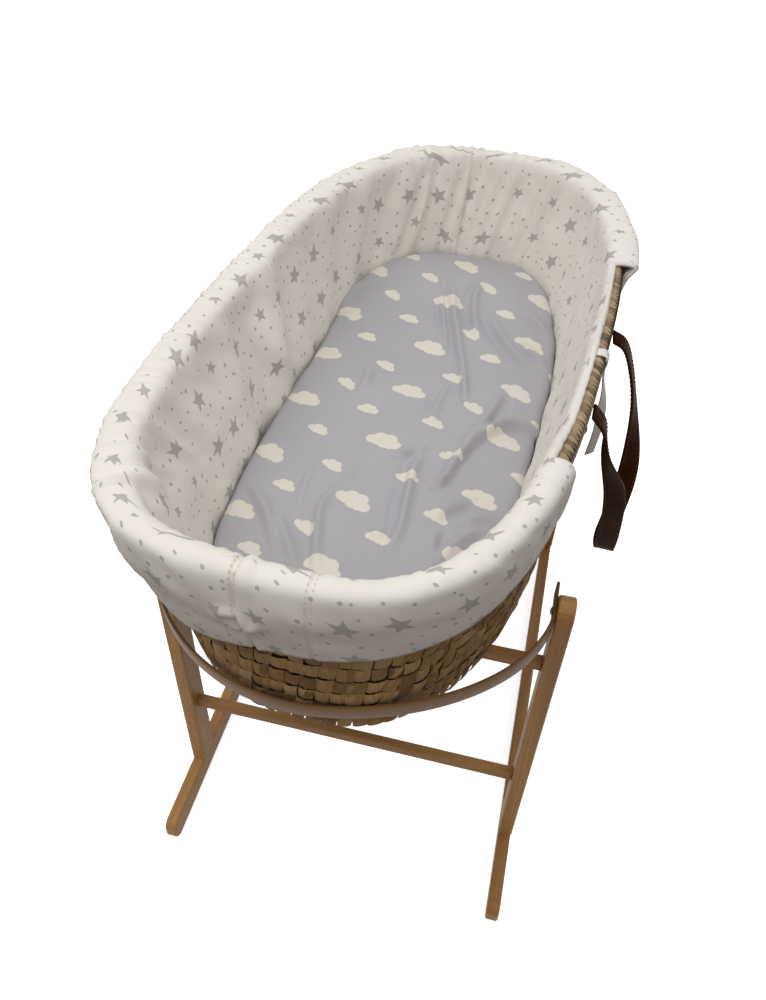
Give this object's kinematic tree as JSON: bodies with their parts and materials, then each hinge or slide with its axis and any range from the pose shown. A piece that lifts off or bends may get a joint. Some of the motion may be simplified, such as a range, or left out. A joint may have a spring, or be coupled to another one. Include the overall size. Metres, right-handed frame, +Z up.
{
  "type": "bassinet on stand",
  "caption": "Oval braided baby basket with padded liner, mattress, sheet and leather carrying handles, resting on a low wooden stand with cross rails and bent laths.",
  "frame": {"origin": "on the floor, under the middle of the stand", "axes": "+X across to the right-hand side, +Y from the foot end to the head end, +Z up"},
  "size_m": [0.5474, 0.8584, 0.616],
  "materials": {
    "beech": "clear satin lacquer on solid wood",
    "lath": "thin satin lacquer on a bent lath",
    "steel": "dull zinc plating",
    "braid": "dry braided plant leaf, matt",
    "binding": "wrapped plant leaf, matt",
    "quilt": "printed cotton over wadding",
    "foam": "plain cotton cover over foam",
    "cotton": "printed cotton jersey",
    "leather": "smooth dark leather",
    "brass": "aged brass"
  },
  "bodies": {
    "stand": {"bow_foot": "lath", "bow_head": "lath", "bow_screw_foot_left": "steel", "bow_screw_foot_right": "steel", "bow_screw_head_left": "steel", "bow_screw_head_right": "steel", "foot_screw_foot_left_1": "steel", "foot_screw_foot_left_2": "steel", "foot_screw_foot_right_1": "steel", "foot_screw_foot_right_2": "steel", "foot_screw_head_left_1": "steel", "foot_screw_head_left_2": "steel", "foot_screw_head_right_1": "steel", "foot_screw_head_right_2": "steel", "lower_bolt_foot_left": "steel", "lower_bolt_foot_right": "steel", "lower_bolt_head_left": "steel", "lower_bolt_head_right": "steel", "lower_rail_foot": "beech", "lower_rail_head": "beech", "runner_left": "beech", "runner_right": "beech", "upper_bolt_foot_left": "steel", "upper_bolt_foot_right": "steel", "upper_bolt_head_left": "steel", "upper_bolt_head_right": "steel", "upper_rail_foot": "beech", "upper_rail_head": "beech", "upright_foot_left": "beech", "upright_foot_right": "beech", "upright_head_left": "beech", "upright_head_right": "beech"},
    "basket": {"basket_base": "braid", "basket_binding": "binding", "basket_wall": "braid", "liner": "quilt", "liner_tie": "quilt", "rivet_far_left": "brass", "rivet_far_right": "brass", "rivet_near_left": "brass", "rivet_near_right": "brass", "tab_far_left": "leather", "tab_far_right": "leather", "tab_near_left": "leather", "tab_near_right": "leather"},
    "mattress": {"mattress": "foam", "fitted_sheet": "cotton"},
    "handle_left": {"handle_left": "leather"},
    "handle_right": {"handle_right": "leather"}
  },
  "joints": [
    {"name": "basket_lift", "type": "slide", "parent": "stand", "child": "basket", "axis": [0, 0, 1], "range_m": [0, 0.3]},
    {"name": "mattress_lift", "type": "slide", "parent": "basket", "child": "mattress", "axis": [0, 0, 1], "range_m": [0, 0.2]},
    {"name": "right_handle_swing", "type": "hinge", "parent": "basket", "child": "handle_right", "pos_m": [0.2087, -0.0328, 0.5822], "axis": [-0.0883, -0.9961, 0], "range_deg": [0, 105]},
    {"name": "left_handle_swing", "type": "hinge", "parent": "basket", "child": "handle_left", "pos_m": [-0.2121, -0.0071, 0.5822], "axis": [0.0835, 0.9965, 0], "range_deg": [0, 105]}
  ]
}
